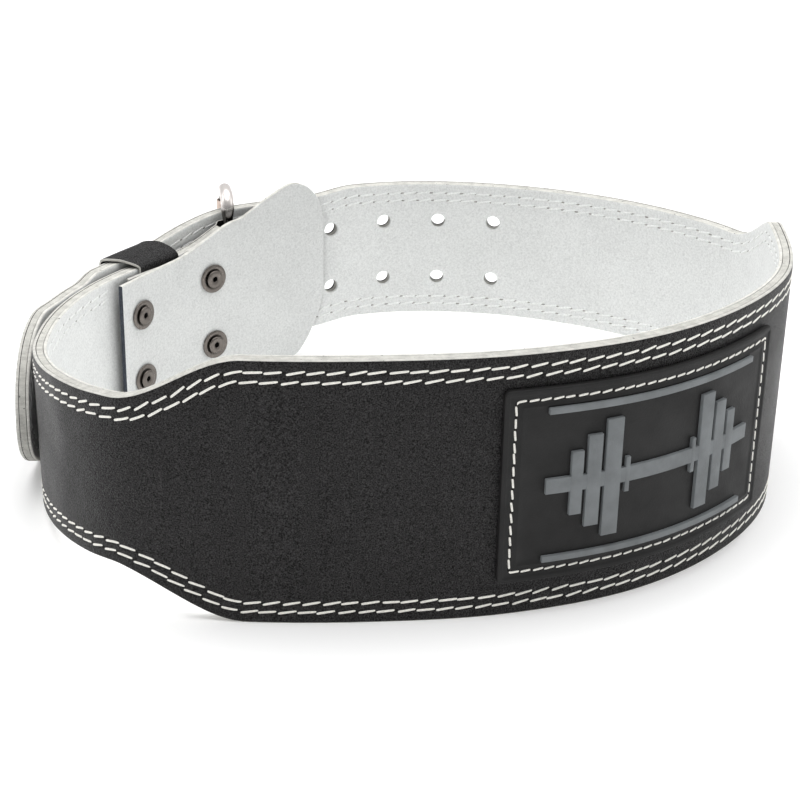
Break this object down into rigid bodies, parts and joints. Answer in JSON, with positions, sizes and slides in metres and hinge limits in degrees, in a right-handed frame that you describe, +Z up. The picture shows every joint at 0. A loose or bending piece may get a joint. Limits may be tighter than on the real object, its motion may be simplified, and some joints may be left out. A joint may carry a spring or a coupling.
{
  "type": "weightlifting belt",
  "caption": "Wide-backed leather lifting belt, fastened as a loop with a prong buckle, riveted guard, keeper and a raised rubber patch; it stands on its lower edge.",
  "frame": {"origin": "under the middle of the belt's box, on the surface that it stands on", "axes": "+Z up across the belt's width, -Y towards the wide panel at the front, +X to the right as seen from the front"},
  "size_m": [0.312, 0.27, 0.1016],
  "materials": {
    "black_leather": "fine-grained, soft sheen",
    "cream_core": "raw cut edge",
    "pale_suede": "suede",
    "plated_steel": "polished",
    "gunmetal": "dark satin",
    "dark_rubber": "matt",
    "grey_rubber": "matt"
  },
  "bodies": {
    "root": {"outer_leather": "black_leather", "core": "cream_core", "suede_lining": "pale_suede", "buckle_shield": "pale_suede", "keeper_loop": "black_leather", "buckle_frame": "plated_steel", "buckle_roller": "plated_steel", "prong_lower": "plated_steel", "prong_upper": "plated_steel", "washer_1": "gunmetal", "rivet_1": "gunmetal", "washer_2": "gunmetal", "rivet_2": "gunmetal", "washer_3": "gunmetal", "rivet_3": "gunmetal", "washer_4": "gunmetal", "rivet_4": "gunmetal", "label_patch": "dark_rubber", "emblem_barbell": "grey_rubber", "emblem_rule_lower": "grey_rubber", "emblem_rule_upper": "grey_rubber"}
  },
  "joints": []
}
